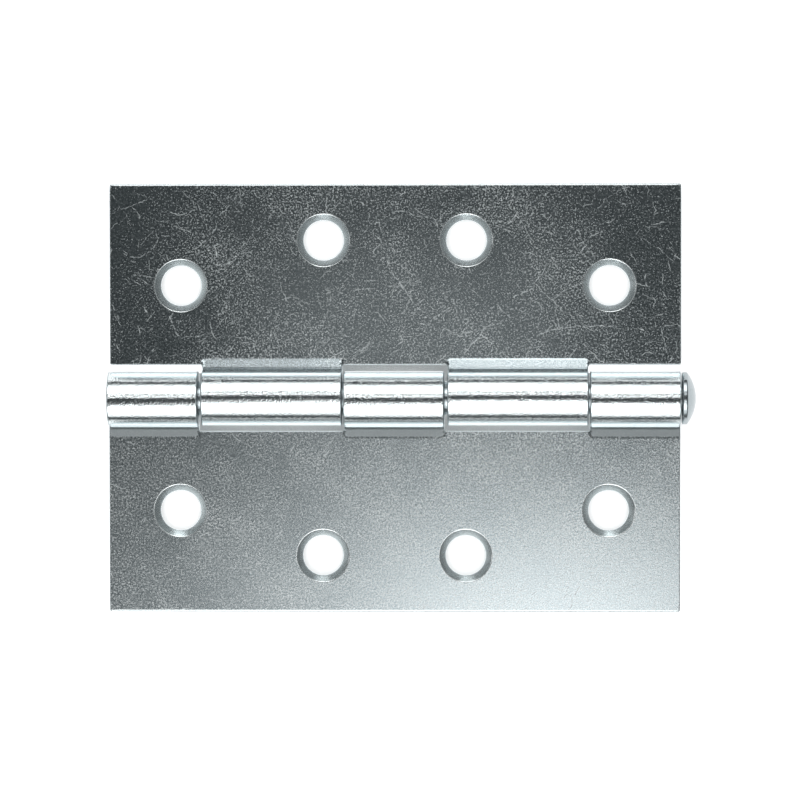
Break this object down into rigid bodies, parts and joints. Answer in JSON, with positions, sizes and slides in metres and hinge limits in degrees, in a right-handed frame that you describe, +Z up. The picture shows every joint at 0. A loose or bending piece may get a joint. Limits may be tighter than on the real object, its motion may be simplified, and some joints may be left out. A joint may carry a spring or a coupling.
{
  "type": "loose pin butt hinge",
  "caption": "Open steel butt hinge: two flat leaves with staggered countersunk screw holes, rolled knuckles and a domed loose pin that draws out endways.",
  "frame": {"origin": "on the pin's axis, halfway along the overall length, head included", "axes": "+X along the pin towards its head, +Y towards the two-knuckle leaf, +Z up out of the countersunk faces"},
  "size_m": [0.1028, 0.075, 0.0094],
  "materials": {
    "leaf_steel": "bright zinc plate with fine rub marks",
    "pin_steel": "bright zinc plate"
  },
  "bodies": {
    "three_knuckle_leaf": {"three_knuckle_leaf": "leaf_steel"},
    "two_knuckle_leaf": {"two_knuckle_leaf": "leaf_steel"},
    "loose_pin": {"loose_pin": "pin_steel"}
  },
  "joints": [
    {"name": "leaf_swing", "type": "hinge", "parent": "three_knuckle_leaf", "child": "two_knuckle_leaf", "pos_m": [0, 0, 0], "axis": [1, 0, 0], "range_deg": [-128, 180]},
    {"name": "pin_draw", "type": "slide", "parent": "three_knuckle_leaf", "child": "loose_pin", "axis": [1, 0, 0], "range_m": [0, 0.105]}
  ]
}
